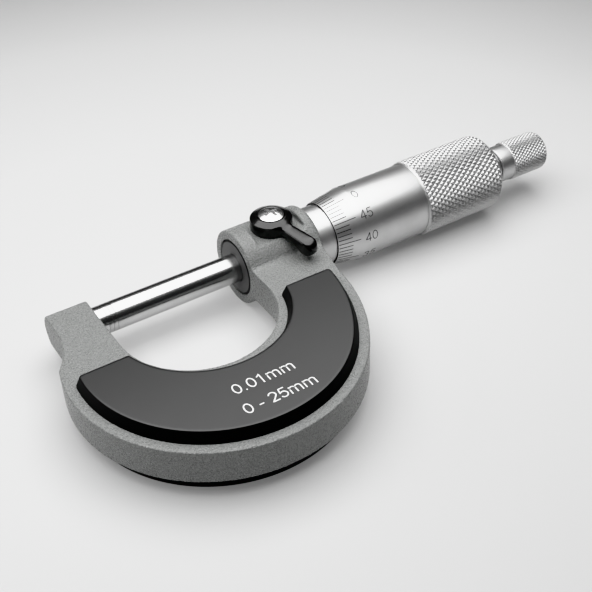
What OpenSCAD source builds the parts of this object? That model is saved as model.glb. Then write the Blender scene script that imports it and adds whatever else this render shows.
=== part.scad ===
// Outside micrometer, 0 to 25 mm. Millimetres.
// The origin is the centre of the anvil's measuring face. +X runs along the spindle to the ratchet,
// -Y runs down into the bow, and +Z is the front face. The spindle stands closed on the anvil.

/* [Spindle and anvil] */
// Diameter of the spindle and of the anvil
spindle_d = 6.35; // [6:0.05:6.5]
// Longest distance that the spindle opens
travel = 25; // [20:1:25]
// Lead of the spindle screw
pitch = 0.5; // [0.5:0.1:1]
// Gap left between the two measuring faces when closed
closed_gap = 0.01; // [0.01:0.01:0.05]
// Thickness of each carbide tip
tip_t = 1; // [0.6:0.1:1.5]

/* [Frame] */
// How far the anvil stands out of its leg
anvil_out = 2.9; // [2:0.1:4]
// Width of the anvil leg along the spindle
leg_w = 9.2; // [8:0.1:11]
// Radius of the leg's round end about the spindle
leg_end_r = 4.9; // [4.6:0.1:6]
// Thickness of the frame
frame_t = 7.6; // [7:0.1:8.4]
// Width of the throat, from the leg to the boss
throat_w = 33.3; // [32:0.1:34]
// Depth of the throat's straight sides below the spindle
throat_side = 13.6; // [12:0.1:15]
// Radius of the bow's outer edge
bow_r = 30.45; // [30:0.05:31.5]
// Depth of the centre of the bow's outer edge below the spindle
bow_drop = 22.7; // [21.5:0.1:23.5]
// Radius of the spindle boss
boss_r = 8.5; // [8.3:0.1:9]
// Length of the spindle boss
boss_l = 18.4; // [17:0.1:19]
// Radius of the hole bored through the boss
boss_bore_r = 6.4; // [6.2:0.1:6.4]

/* [Cover plates] */
// How far the front cover plate stands proud of the frame
plate_proud = 2.35; // [1.5:0.05:2.6]
// How far the rear cover plate, which the frame lies on, stands proud
rear_proud = 3.65; // [2.3:0.05:3.9]
// How far a cover plate sits in its pocket
plate_sunk = 1; // [0.5:0.1:1.5]
// Slope of the front plate's edge, measured across the edge
plate_bevel = 0.95; // [0.3:0.05:1.2]
// Width of bare frame outside a plate
plate_margin = 2.15; // [1.8:0.05:2.5]

/* [Sleeve] */
// Outer radius of the graduated sleeve
sleeve_r = 7; // [6.8:0.05:7]
// Length of the graduated sleeve
sleeve_l = 31.2; // [30:0.1:32]

/* [Thimble] */
// Distance from the closed measuring faces to the thimble's front edge
thimble_x = 52.75; // [52:0.05:54]
// Outer radius of the thimble's front edge
thimble_edge_r = 7.4; // [7.3:0.05:7.6]
// Outer radius of the thimble's barrel
thimble_r = 8.65; // [8.4:0.05:8.8]
// Length of the graduated cone
cone_l = 7.2; // [6:0.1:8]
// Length of the thimble, with its knurled grip
thimble_l = 46.65; // [46:0.05:48]
// Length of the knurled grip
grip_l = 22.2; // [20:0.1:24]
// Radius of the knurled grip
grip_r = 9.1; // [8.9:0.05:9.4]

/* [Ratchet] */
// Radius of the smooth collar of the ratchet
ratchet_collar_r = 4.45; // [4.3:0.05:4.6]
// Radius of the knurled ratchet knob
ratchet_r = 4.8; // [4.6:0.05:5]
// Length of the ratchet cap, collar and knob together
ratchet_l = 14.2; // [13:0.1:15]
// Number of ratchet teeth
ratchet_teeth = 20; // [12:1:24]

/* [Spindle lock] */
// Radius of the lever's hub
hub_r = 4.67; // [4.4:0.01:4.8]
// Height of the milled flat above the spindle's axis
flat_z = 6.94; // [6.8:0.01:7.1]
// Distance from the hub's axis to the end of the lever
lever_l = 13; // [12:0.1:13.4]
// Width of the lever's arm
lever_w = 2.8; // [2.6:0.1:3.2]
// Angle of the released lever from straight down towards the thimble
lever_angle = 15; // [10:1:16]

/* [Hidden] */
$fn = 96;
eps = 0.01;
slip = 0.04;
far = 100;

// Frame outline in the XY plane
spindle_r = spindle_d / 2;
half_t = frame_t / 2;
leg_x0 = -anvil_out - leg_w;
leg_x1 = -anvil_out;
boss_x0 = leg_x1 + throat_w;
boss_x1 = boss_x0 + boss_l;
throat_r = throat_w / 2;
throat_x = leg_x1 + throat_r;
bow_x = 13.1;
shoulder_r = 16.8;
shoulder_y = -3;
// The right flank of the bow is a larger arc that leaves the round bow at this angle
flank_angle = -38;
flank_r = 42;
flank_start = [bow_x + bow_r * cos(flank_angle), -bow_drop + bow_r * sin(flank_angle)];
flank_c = flank_start - flank_r * [cos(flank_angle), sin(flank_angle)];
// Above this depth the flank leans out to the end of the boss
neck_y = -18;
neck_x = flank_c.x + sqrt(pow(flank_r, 2) - pow(neck_y - flank_c.y, 2));
boss_fillet = 1.5;
boss_edge = 0.8;
fillet_y = -sqrt(pow(boss_r + boss_fillet, 2) - pow(half_t + boss_fillet, 2));

// Cover plates
rear_bevel = 0.15;
pocket_z = half_t - plate_sunk;
plate_in_x = 14.05;
plate_in_y = -15.2;
plate_in_r = 17.5;
plate_left_y = -18.95;
plate_right_y = -17.65;

// Anvil and sleeves
anvil_x0 = leg_x0 + leg_w / 4;
face_recess = 0.05;
guide_edge = 0.3;
inner_x0 = boss_x0 + face_recess;
neck_r = 5.8;
outer_x0 = boss_x1 + slip;
outer_x1 = outer_x0 + sleeve_l;
inner_x1 = outer_x1 + 8;
relief_r = spindle_r + 0.6;
nut_thread_x = outer_x1 - 4;
saw_cut_w = 0.4;
saw_cut_x = outer_x1 + 1;
spanner_hole_x = outer_x0 + 1.9;
spanner_hole_r = 0.55;
adjust_r = 6.65;
adjust_x0 = outer_x1 + 2;
adjust_x1 = inner_x1 - 1;
spanner_slot = [2, 3, 1.2];
spanner_slot_x = adjust_x1 - 1.2;

// Spindle and thimble
thimble_x1 = thimble_x + thimble_l;
thread_r = 3.15;
thread_depth = 0.27;
thread_x0 = nut_thread_x - travel - 1;
thread_x1 = thimble_x1 - 7.4;
taper_x0 = thread_x1 + 0.5;
taper_x1 = thimble_x1 - 0.6;
taper_r0 = 3.1;
taper_r1 = 2.6;
thimble_bore_r = sleeve_r + 0.08;
end_wall = 4;
grip_x0 = thimble_x1 - grip_l;
grip_chamfer = 0.8;
step_l = 0.5;
step_r = thimble_r - 0.12;

// Ratchet stop
washer_t = 0.4;
washer_r = 4.2;
washer_gap = 0.03;
stud_r = 1.6;
stud_slip = 0.1;
stud_x0 = taper_x0 + 0.5;
base_x0 = thimble_x1 + washer_t + 2 * washer_gap;
base_x1 = base_x0 + 3;
base_r = 4.5;
tooth_h = 0.45;
tooth_r = 3.32;
arbor_r = 1.7;
cap_x0 = base_x1 + 0.35;
cap_x1 = cap_x0 + ratchet_l;
cap_collar_x = cap_x0 + 3.75;
cap_edge = 0.3;
cap_bevel = 0.4;
cap_end = 0.9;
cap_bore_r = 3.5;
clutch_x0 = base_x1 + tooth_h + 0.06;
clutch_x1 = clutch_x0 + 2.2;
clutch_r = 3.42;
clutch_notch_w = 0.5;
spring_x1 = cap_x1 - 4.9;
spring_r = 2.6;
spring_wire_r = 0.3;
spring_pitch = 0.95;
arbor_x1 = spring_x1 - 0.3;
shank_r = 1.4;
screw_thread_r = 1;
screw_thread_l = 4;
screw_seat_x = cap_x1 - 3;
screw_head_r = 2.3;
screw_x1 = cap_x1 - 0.5;
screw_slot_w = 0.7;
screw_slot_depth = 0.9;

// Spindle lock
lock_x = boss_x0 + 9.7;
flat_half = 5.95;
hub_z0 = flat_z + slip;
hub_z1 = 9.55;
hub_top_z = 10.3;
hub_top_r = 3.3;
hub_dish_r = 3.05;
hub_dish_z = 9.2;
arm_slope = 0.9;
arm_tip_r = 1.8;
arm_drop_r = 2.3;
arm_drop_x = lever_l - arm_drop_r;
arm_drop_z = hub_z1 - arm_slope - arm_drop_r;
arm_end_z = 5.1;
arm_root_x = 2;
arm_edge = 1.2;
arm_edge_mid = 0.36;
arm_fillet = 1.2;
arm_fillet_y = lever_w / 2 + arm_fillet;
arm_fillet_x = sqrt(pow(hub_r + arm_fillet, 2) - pow(arm_fillet_y, 2));
// Underside of the lever's arm: distance from the hub's axis, and height
arm_under = [[arm_root_x, hub_z0], [6.6, hub_z0], [7.8, 6.65], [9.4, 5.65], [10.2, arm_end_z]];
lock_stud_r = 1.5;
plug_t = 0.9;
plug_z0 = spindle_r + 0.1;
plug_travel = 0.08;
stud_z0 = plug_z0 + plug_t + plug_travel;
lock_screw_r = 2.85;
lock_screw_rim = 1.1;
lock_screw_h = 1.8;
lock_screw_dome_r = 6.2;
lock_shank_r = 0.95;
lock_shank_l = 2.5;
cross_l = 3.4;
cross_w = 0.7;
cross_depth = 0.9;

// Stands a shape drawn along Z up along +X, from x
module along_x(x = 0)
    translate([x, 0, 0])
        rotate([90, 0, 90])
            children();

// Cylinder or cone along X, from x0 to x1
module rod(x0, x1, r0, r1 = 0)
    along_x(x0)
        cylinder(h = x1 - x0, r1 = r0, r2 = r1 > 0 ? r1 : r0);

// Tube along X
module tube(x0, x1, r_out, r_in)
    difference() {
        rod(x0, x1, r_out);
        rod(x0 - eps, x1 + eps, r_in);
    }

// Outer edge of the bow, set in by margin
module bow_outline(margin = 0) {
    translate([bow_x, -bow_drop])
        circle(r = bow_r - margin, $fn = 180);
    intersection() {
        translate(flank_c)
            circle(r = flank_r - margin, $fn = 360);
        translate([bow_x, flank_start.y])
            square([far, -flank_start.y]);
    }
}

// Whole flat outline of the frame, without the boss
module frame_outline()
    difference() {
        union() {
            intersection() {
                bow_outline();
                union() {
                    translate([bow_x - far, -far])
                        square([far, far]);
                    translate([bow_x - eps, neck_y - far])
                        square([far, far]);
                }
            }
            translate([leg_x0, -bow_drop])
                square([leg_w, bow_drop]);
            polygon([[throat_x, neck_y], [neck_x, neck_y], [boss_x1 - boss_edge, 1 - boss_r],
                     [boss_x1 - boss_edge, 0], [throat_x, 0]]);
        }
        translate([leg_x0 - shoulder_r, shoulder_y])
            circle(r = shoulder_r, $fn = 180);
        translate([leg_x0 - far, shoulder_y])
            square([far, far]);
        translate([throat_x, -throat_side])
            circle(r = throat_r, $fn = 180);
        translate([leg_x1, -throat_side])
            square([throat_w, far]);
        translate([boss_x1, -boss_r])
            square([far, far]);
    }

// Section of the boss across the spindle, with a fillet down to each face of the frame
module boss_section() {
    circle(r = boss_r);
    for (side = [-1, 1])
        scale([1, side])
            difference() {
                polygon([[0, 0], [fillet_y, 0], [fillet_y, half_t + boss_fillet]]);
                translate([fillet_y, half_t + boss_fillet])
                    circle(r = boss_fillet);
            }
}

// Edge of a cover plate: a cone that leans in above the frame's face, and a straight side below it
module plate_drum(x, y, r, proud, lean) {
    translate([x, y, pocket_z])
        cylinder(h = plate_sunk, r = r, $fn = 180);
    translate([x, y, half_t])
        cylinder(h = proud, r1 = r, r2 = r + lean, $fn = 180);
}

// A block below the straight top edge of a plate, with the same leaning edge
module plate_block(x0, x1, y, proud, lean)
    rotate([90, 0, 90])
        translate([0, 0, x0])
            linear_extrude(x1 - x0)
                polygon([[y, pocket_z], [y, half_t], [y - lean, half_t + proud],
                         [y - far, half_t + proud], [y - far, pocket_z]]);

module plate_body(proud, lean)
    difference() {
        intersection() {
            union() {
                plate_drum(bow_x, -bow_drop, bow_r - plate_margin, proud, -lean);
                intersection() {
                    plate_drum(flank_c.x, flank_c.y, flank_r - plate_margin, proud, -lean);
                    translate([bow_x, flank_start.y, 0])
                        cube([far, far, far]);
                }
            }
            union() {
                plate_block(bow_x - far, plate_in_x, plate_left_y, proud, lean);
                plate_block(plate_in_x, bow_x + far, plate_right_y, proud, lean);
            }
        }
        plate_drum(plate_in_x, plate_in_y, plate_in_r, proud, lean);
    }

// Straight-sided pocket that a cover plate sits in
module plate_pocket()
    translate([0, 0, pocket_z])
        linear_extrude(plate_sunk + eps)
            difference() {
                intersection() {
                    bow_outline(plate_margin);
                    union() {
                        translate([bow_x - far, plate_left_y - far])
                            square([far + plate_in_x - bow_x, far]);
                        translate([plate_in_x, plate_right_y - far])
                            square([far, far]);
                    }
                }
                translate([plate_in_x, plate_in_y])
                    circle(r = plate_in_r, $fn = 180);
            }

module frame()
    color("lightgray")
        difference() {
            union() {
                translate([0, 0, -half_t])
                    linear_extrude(frame_t)
                        frame_outline();
                intersection() {
                    rod(leg_x0, leg_x1, leg_end_r);
                    cube([far, far, frame_t], center = true);
                }
                along_x(boss_x0)
                    linear_extrude(boss_l - boss_edge)
                        boss_section();
                rod(boss_x1 - boss_edge - eps, boss_x1, boss_r, boss_r - boss_edge);
            }
            rod(anvil_x0, leg_x1 + eps, spindle_r);
            rod(boss_x0 - eps, boss_x1 + eps, boss_bore_r);
            translate([lock_x - flat_half, -far / 2, flat_z])
                cube([2 * flat_half, far, far]);
            translate([lock_x, 0, 0])
                cylinder(h = far, r = lock_stud_r + slip);
            plate_pocket();
            mirror([0, 0, 1])
                plate_pocket();
        }

module anvil()
    color("silver")
        rod(anvil_x0, -tip_t, spindle_r);

module anvil_tip()
    color("dimgray")
        rod(-tip_t, 0, spindle_r);

module front_plate()
    color("dimgray")
        plate_body(plate_proud, plate_bevel);

module rear_plate()
    color("dimgray")
        mirror([0, 0, 1])
            plate_body(rear_proud, rear_bevel);

// Guide and nut in one: a plain guide bore in the boss, then a relieved bore, then the thread
module inner_sleeve()
    color("gray")
        difference() {
            union() {
                rod(inner_x0, inner_x0 + guide_edge, boss_bore_r - guide_edge, boss_bore_r);
                rod(inner_x0 + guide_edge - eps, boss_x1, boss_bore_r);
                rod(boss_x1, inner_x1, neck_r);
            }
            rod(inner_x0 - eps, boss_x1, spindle_r + slip);
            rod(boss_x1 - eps, nut_thread_x, relief_r);
            rod(nut_thread_x - eps, inner_x1 + eps, thread_r + slip);
            translate([lock_x, 0, 0])
                cylinder(h = far, r = lock_stud_r + slip);
            // Saw cuts that let the adjusting nut close the thread
            for (a = [60:120:300])
                rotate([a, 0, 0])
                    translate([saw_cut_x, 0, -saw_cut_w / 2])
                        cube([far, far, saw_cut_w]);
        }

module adjusting_nut()
    color("goldenrod")
        difference() {
            tube(adjust_x0, adjust_x1, adjust_r, neck_r);
            // Spanner slots
            for (a = [45:90:315])
                rotate([a, 0, 0])
                    translate([spanner_slot_x, neck_r - eps, -spanner_slot.z / 2])
                        cube(spanner_slot);
        }

module outer_sleeve()
    color("gainsboro")
        difference() {
            tube(outer_x0, outer_x1, sleeve_r, neck_r + slip);
            // Hole for the adjusting spanner
            translate([spanner_hole_x, 0, -far])
                cylinder(h = far, r = spanner_hole_r);
        }

module spindle()
    color("silver")
        difference() {
            union() {
                rod(closed_gap + tip_t, thread_x0, spindle_r);
                rod(thread_x0, thread_x1, thread_r - thread_depth);
                // Thread crests as rings at the pitch
                for (i = [0:floor((thread_x1 - thread_x0) / (pitch * 2)) - 1])
                    rod(thread_x0 + (2 * i + 0.5) * pitch, thread_x0 + (2 * i + 1.5) * pitch, thread_r);
                rod(thread_x1, taper_x0, taper_r0);
                rod(taper_x0, taper_x1, taper_r0, taper_r1);
            }
            rod(taper_x0, taper_x1 + eps, stud_r);
        }

module spindle_tip()
    color("dimgray")
        rod(closed_gap, closed_gap + tip_t, spindle_r);

module thimble()
    color("gainsboro")
        difference() {
            union() {
                rod(thimble_x, thimble_x + cone_l, thimble_edge_r, thimble_r);
                rod(thimble_x + cone_l - eps, grip_x0 - step_l, thimble_r);
                rod(grip_x0 - step_l - eps, grip_x0, step_r);
                rod(grip_x0 - eps, grip_x0 + grip_chamfer, thimble_r, grip_r);
                rod(grip_x0 + grip_chamfer - eps, thimble_x1 - grip_chamfer, grip_r);
                rod(thimble_x1 - grip_chamfer - eps, thimble_x1, grip_r, grip_r - grip_chamfer);
            }
            rod(thimble_x - eps, thimble_x1 - end_wall, thimble_bore_r);
            // Taper seat on the spindle
            rod(taper_x0, taper_x1, taper_r0, taper_r1);
            rod(taper_x1 - eps, thimble_x1 + eps, taper_r1);
        }

module thimble_washer()
    color("silver")
        tube(thimble_x1 + washer_gap, base_x0 - washer_gap, washer_r, stud_r + stud_slip);

// Ring of radial ratchet teeth that stand up from the flange
module tooth_ring()
    difference() {
        tube(base_x1 - eps, base_x1 + tooth_h, tooth_r, arbor_r - eps);
        for (i = [0:ratchet_teeth - 1])
            rotate([i * 360 / ratchet_teeth, 0, 0])
                translate([base_x1, 0, -tooth_r * PI / ratchet_teeth / 2])
                    cube([far, far, tooth_r * PI / ratchet_teeth]);
    }

module ratchet_base()
    color("silver")
        difference() {
            union() {
                rod(stud_x0, base_x0 + eps, stud_r);
                rod(base_x0, base_x1, base_r);
                tooth_ring();
                rod(base_x1 - eps, arbor_x1, arbor_r);
            }
            rod(arbor_x1 - screw_thread_l, arbor_x1 + eps, screw_thread_r);
        }

module ratchet_clutch()
    color("gray")
        difference() {
            tube(clutch_x0, clutch_x1, clutch_r, arbor_r + slip);
            // Notches between the clutch's teeth
            for (i = [0:ratchet_teeth - 1])
                rotate([i * 360 / ratchet_teeth, 0, 0])
                    translate([clutch_x0 - eps, 0, -clutch_notch_w / 2])
                        cube([tooth_h, far, clutch_notch_w]);
        }

// Coil spring drawn as rings at its pitch
module ratchet_spring()
    color("silver")
        for (i = [0:floor((spring_x1 - clutch_x1) / spring_pitch) - 1])
            along_x(clutch_x1 + (i + 0.5) * spring_pitch)
                rotate_extrude()
                    translate([spring_r, 0])
                        circle(r = spring_wire_r, $fn = 24);

module ratchet_screw()
    color("silver")
        difference() {
            union() {
                rod(arbor_x1 - screw_thread_l, arbor_x1 + eps, screw_thread_r);
                rod(arbor_x1, screw_seat_x + slip + eps, shank_r);
                rod(screw_seat_x + slip, screw_x1, screw_head_r);
            }
            translate([screw_x1 - screw_slot_depth, -far / 2, -screw_slot_w / 2])
                cube([far, far, screw_slot_w]);
        }

module ratchet_knob()
    color("gainsboro")
        difference() {
            union() {
                rod(cap_x0, cap_x0 + cap_edge, ratchet_collar_r - cap_edge, ratchet_collar_r);
                rod(cap_x0 + cap_edge - eps, cap_collar_x, ratchet_collar_r);
                rod(cap_collar_x - eps, cap_collar_x + cap_bevel, ratchet_collar_r, ratchet_r);
                rod(cap_collar_x + cap_bevel - eps, cap_x1 - cap_end, ratchet_r);
                rod(cap_x1 - cap_end - eps, cap_x1, ratchet_r, ratchet_r - cap_end);
            }
            rod(cap_x0 - eps, spring_x1, cap_bore_r);
            rod(spring_x1 - eps, screw_seat_x + eps, shank_r + slip);
            rod(screw_seat_x, cap_x1 + eps, screw_head_r + slip);
        }

// Arm of the lever along +X from the hub's axis
module lever_arm()
    intersection() {
        linear_extrude(far) {
            hull() {
                translate([0, -lever_w / 2])
                    square([arm_fillet_x, lever_w]);
                translate([lever_l - arm_tip_r, 0])
                    circle(r = arm_tip_r);
            }
            // Fillets where the arm leaves the hub
            difference() {
                polygon([[0, 0], [arm_fillet_x, -arm_fillet_y], [arm_fillet_x, arm_fillet_y]]);
                for (side = [-1, 1])
                    translate([arm_fillet_x, side * arm_fillet_y])
                        circle(r = arm_fillet);
            }
        }
        rotate([90, 0, 0])
            translate([0, 0, -lever_w])
                linear_extrude(2 * lever_w) {
                    polygon(concat(arm_under,
                                   [[lever_l - arm_edge, arm_end_z],
                                    [lever_l - arm_edge_mid, arm_end_z + arm_edge_mid],
                                    [lever_l, arm_end_z + arm_edge],
                                    [lever_l, arm_drop_z], [arm_drop_x, arm_drop_z + arm_drop_r],
                                    [arm_root_x, hub_z1]]));
                    intersection() {
                        translate([arm_drop_x, arm_drop_z])
                            circle(r = arm_drop_r);
                        translate([arm_drop_x, arm_drop_z])
                            square(far);
                    }
                }
    }

module lock_lever()
    color("black")
        difference() {
            translate([lock_x, 0, 0])
                rotate([0, 0, lever_angle - 90])
                    union() {
                        translate([0, 0, hub_z0])
                            cylinder(h = hub_z1 - hub_z0, r = hub_r);
                        translate([0, 0, hub_z1 - eps])
                            cylinder(h = hub_top_z - hub_z1 + eps, r1 = hub_r, r2 = hub_top_r);
                        lever_arm();
                    }
            translate([lock_x, 0, hub_dish_z])
                cylinder(h = far, r = hub_dish_r);
            translate([lock_x, 0, 0])
                cylinder(h = far, r = lock_stud_r);
        }

module lock_screw()
    color("white")
        difference() {
            translate([lock_x, 0, 0])
                union() {
                    translate([0, 0, hub_dish_z])
                        cylinder(h = lock_screw_rim, r = lock_screw_r);
                    intersection() {
                        translate([0, 0, hub_dish_z + lock_screw_h - lock_screw_dome_r])
                            sphere(r = lock_screw_dome_r);
                        translate([0, 0, hub_dish_z + lock_screw_rim - eps])
                            cylinder(h = lock_screw_h, r = lock_screw_r);
                    }
                    translate([0, 0, hub_dish_z - lock_shank_l])
                        cylinder(h = lock_shank_l + eps, r = lock_shank_r);
                }
            // Cross recess
            for (a = [lever_angle, lever_angle + 90])
                translate([lock_x, 0, hub_dish_z + lock_screw_h])
                    rotate([0, 0, a])
                        cube([cross_l, cross_w, 2 * cross_depth], center = true);
        }

module lock_stud()
    color("gray")
        difference() {
            translate([lock_x, 0, stud_z0])
                cylinder(h = hub_dish_z - stud_z0, r = lock_stud_r);
            translate([lock_x, 0, hub_dish_z - lock_shank_l])
                cylinder(h = far, r = lock_shank_r);
        }

module lock_plug()
    color("goldenrod")
        translate([lock_x, 0, plug_z0])
            cylinder(h = plug_t, r = lock_stud_r);

frame();
anvil();
anvil_tip();
front_plate();
rear_plate();
inner_sleeve();
adjusting_nut();
outer_sleeve();
spindle();
spindle_tip();
thimble();
thimble_washer();
ratchet_base();
ratchet_clutch();
ratchet_spring();
ratchet_screw();
ratchet_knob();
lock_lever();
lock_screw();
lock_stud();
lock_plug();
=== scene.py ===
"""Looks of an outside micrometer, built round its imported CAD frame.

Blender's objects are in metres. The sizes and mesh builders below are in millimetres, in the same
frame, and add_piece turns each finished mesh into metres. Bump distances and noise scales are in
metres too, since materials read the finished mesh."""
import math

import bmesh
import bpy
import numpy as np
from mathutils import Matrix, Vector, noise


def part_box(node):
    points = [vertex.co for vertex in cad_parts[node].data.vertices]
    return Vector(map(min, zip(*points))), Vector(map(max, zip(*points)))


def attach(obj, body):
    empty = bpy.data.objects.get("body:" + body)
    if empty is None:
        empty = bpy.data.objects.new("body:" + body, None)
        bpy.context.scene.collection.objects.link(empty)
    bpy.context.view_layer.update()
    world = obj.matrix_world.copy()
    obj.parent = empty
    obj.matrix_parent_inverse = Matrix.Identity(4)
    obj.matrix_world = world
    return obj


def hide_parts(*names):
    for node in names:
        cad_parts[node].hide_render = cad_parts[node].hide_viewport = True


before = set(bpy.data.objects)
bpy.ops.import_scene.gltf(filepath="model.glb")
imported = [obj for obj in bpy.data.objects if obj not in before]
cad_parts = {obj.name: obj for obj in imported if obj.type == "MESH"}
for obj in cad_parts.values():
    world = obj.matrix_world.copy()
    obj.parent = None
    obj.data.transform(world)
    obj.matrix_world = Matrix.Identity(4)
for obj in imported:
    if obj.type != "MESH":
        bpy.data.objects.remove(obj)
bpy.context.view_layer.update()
MM = 0.001
TINY = 1e-6
MERGE = 1e-4
FULL_TURN = 2 * math.pi


def box_mm(node):
    """Lowest and highest corner of a CAD node, in millimetres."""
    low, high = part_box(node)
    return low / MM, high / MM


# ---------------------------------------------------------------- sizes, in millimetres
ANVIL_LOW, ANVIL_HIGH = box_mm("anvil")
SPINDLE_R = ANVIL_HIGH.z
FRAME_HIGH = box_mm("frame")[1]
PLATE_HIGH = box_mm("front_plate")[1]
REAR_LOW = box_mm("rear_plate")[0]
INNER_LOW, INNER_HIGH = box_mm("inner_sleeve")
SLEEVE_LOW, SLEEVE_HIGH = box_mm("outer_sleeve")
THIMBLE_LOW, THIMBLE_HIGH = box_mm("thimble")
BASE_LOW, BASE_HIGH = box_mm("ratchet_base")
KNOB_LOW, KNOB_HIGH = box_mm("ratchet_knob")
SPINDLE_LOW, SPINDLE_HIGH = box_mm("spindle")
STUD_LOW, STUD_HIGH = box_mm("lock_stud")

# Sizes that no node's box gives by itself
HALF_T = 3.8
SLEEVE_R = SLEEVE_HIGH.z
NECK_R = 5.8
THREAD_R = 3.15
THREAD_X0 = 50.0
PITCH = 0.5
THIMBLE_X0 = THIMBLE_LOW.x
THIMBLE_X1 = THIMBLE_HIGH.x
EDGE_R = 7.4
BARREL_R = 8.65
BORE_R = SLEEVE_R + 0.08
CONE_L = 7.2
GRIP_R = THIMBLE_HIGH.z
GRIP_X0 = THIMBLE_X1 - 22.2
GRIP_CHAMFER = 0.8
STEP_L = 0.5
FLANGE_R = BASE_HIGH.z
FLANGE_X0 = THIMBLE_X1 + 0.46
FLANGE_T = 3.0
ARBOR_R = 1.7
CAP_X0 = KNOB_LOW.x
CAP_X1 = KNOB_HIGH.x
COLLAR_R = 4.45
COLLAR_X = CAP_X0 + 3.75
KNOB_R = KNOB_HIGH.z
CAP_BORE_R = 3.5
SPRING_X1 = CAP_X1 - 4.9
SHANK_R = 1.44
SCREW_SEAT_X = CAP_X1 - 3.0
SCREW_HOLE_R = 2.34
LOCK_X = (STUD_LOW.x + STUD_HIGH.x) / 2
LEVER_ANGLE = 15.0
LEVER_ROOT = 3.4

# Outline of a cover plate
BOW_C = Vector((13.1, -22.7))
PLATE_R = 28.3
FLANK_ANGLE = math.radians(-38)
FLANK_R = 39.85
FLANK_C = BOW_C + (PLATE_R - FLANK_R) * Vector((math.cos(FLANK_ANGLE), math.sin(FLANK_ANGLE)))
THROAT_C = Vector((14.05, -15.2))
THROAT_R = 17.5
PLATE_LEFT_Y = -18.95
PLATE_RIGHT_Y = -17.65
PLATE_BEVEL = 0.95
REAR_BEVEL = 0.15
OUTER_CORNER = 1.7
INNER_CORNER = 1.35
LEAST_CORNER = 0.12
BOW_POINTS = 110
FLANK_POINTS = 28
OUTER_CORNER_POINTS = 10
INNER_CORNER_POINTS = 9
THROAT_POINTS = 90

# Section of a cover plate. Foot: (inset, height over the bow's face). Rim: (inset past the bevel,
# depth under the top).
PLATE_FOOT = ((0.0, -0.35), (0.0, 0.12), (0.03, 0.3))
PLATE_RIM = ((-0.16, 0.4), (-0.04, 0.15), (0.06, 0.05), (0.2, 0.0), (0.6, 0.0))
PLATE_EDGE_NORMAL_Z = 0.85

# Knurl. Levels: (share of a diamond's width, share of its height). Cuts: distances from each end
# where the wall gets an extra ring, so that the chamfer has points to bend at.
KNURL_LEVELS = ((0.86, 0.14), (0.30, 0.93))
KNURL_CUTS = (0.25, 0.5, 0.75, 1.0)

# Skin of the casting: voxel and smoothing passes, then waves as (height, noise scale). The inset
# keeps the softened skin inside the CAD model's box.
CAST_VOXEL = 0.2
CAST_PASSES = 18
CAST_WAVES = ((0.022, 1.5), (0.016, 0.45))
CAST_INSET = 0.02
POCKET_FILL = 1.1
POCKET_MARGIN = 0.12

# Turned edges, gaps and walls
GROUND_EDGE = 0.03
CARBIDE_EDGE = 0.06
TURNED_EDGE = 0.05
FACE_GAP = 0.02
RUNNING_GAP = 0.04

# Spindle screw. Form of one thread: (share of the pitch, whether it is the crest)
THREAD_DEPTH = 0.27
THREAD_FORM = ((0.0, False), (0.25, True), (0.35, True), (0.6, False))
SEAT_L = 7
SEAT_R0 = 2.85
SEAT_R1 = 2.6
SEAT_BORE_R = 1.62

# Lock hole through the guide
HOLE_GAP = 0.04
HOLE_LOW = 1.0
HOLE_HIGH = 12.0
HOLE_SEGMENTS = 64

# Lever's skin: voxel, smoothing passes all over, then along the arm over a fade
LEVER_VOXEL = 0.075
LEVER_PASSES = 16
ARM_PASSES = 260
ARM_FADE = 1.6

# Scales
DATUM_ANGLE = math.radians(100.5)
DIVISIONS = 50
DIVISION = FULL_TURN / DIVISIONS
LINE_W = 0.17
SLEEVE_LINE_W = 0.14
NUMBER_WEIGHT = 0.085
TRAVEL = 25
# Lengths of the marks at each 5 mm, each 1 mm and each half-millimetre
MARK_FIVE = 2.6
MARK_WHOLE = 1.7
MARK_HALF = 1.4
SLEEVE_NUMBER_H = 1.6
SLEEVE_NUMBER_AWAY = 3.9
THIMBLE_NUMBER_H = 2.25
THIMBLE_NUMBER_X = 8.3
DIVISION_LONG = 5.5
DIVISION_SHORT = 3.6
INK_UP = 0.012
INK_DOWN = 0.05
# Corners of an ink line's section: side in line widths, then height over the surface
INK_SECTION = ((-0.5, -INK_DOWN), (0.5, -INK_DOWN), (0.5, INK_UP), (-0.5, INK_UP))
PRINT_H = 2.62
PRINT_W = 0.27
# The two generic printed lines, with the left end and the middle height of each
PRINT_LINES = (("0.01mm", 7.55, -39.65), ("0 - 25mm", 6.75, -45.2))


# ---------------------------------------------------------------- mesh helpers
def add_piece(name, mesh, body, finishes, replaces=(), sharp=30):
    """Links a mesh in millimetres as a piece that rides on a CAD body."""
    mesh.transform(Matrix.Scale(MM, 4))
    mesh.validate()
    mesh.shade_smooth()
    mesh.set_sharp_from_angle(angle=math.radians(sharp))
    piece = bpy.data.objects.new(name, mesh)
    bpy.context.scene.collection.objects.link(piece)
    for finish in finishes:
        mesh.materials.append(finish)
    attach(piece, body)
    if replaces:
        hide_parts(*replaces)


def mesh_from(bm, name):
    """The finished mesh of a bmesh, which is freed, with its normals facing out."""
    bmesh.ops.recalc_face_normals(bm, faces=bm.faces)
    mesh = bpy.data.meshes.new(name)
    bm.to_mesh(mesh)
    bm.free()
    return mesh


def join_meshes(meshes, name):
    """One mesh that holds several, each as it is."""
    bm = bmesh.new()
    for mesh in meshes:
        bm.from_mesh(mesh)
    joined = bpy.data.meshes.new(name)
    bm.to_mesh(joined)
    bm.free()
    return joined


def on_cylinder(x, radius, angle):
    """The point at x with a radius and an angle about X."""
    return (x, radius * math.cos(angle), radius * math.sin(angle))


def neighbours(count):
    """Each index with the next one round, the last with the first."""
    return [(i, (i + 1) % count) for i in range(count)]


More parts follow.
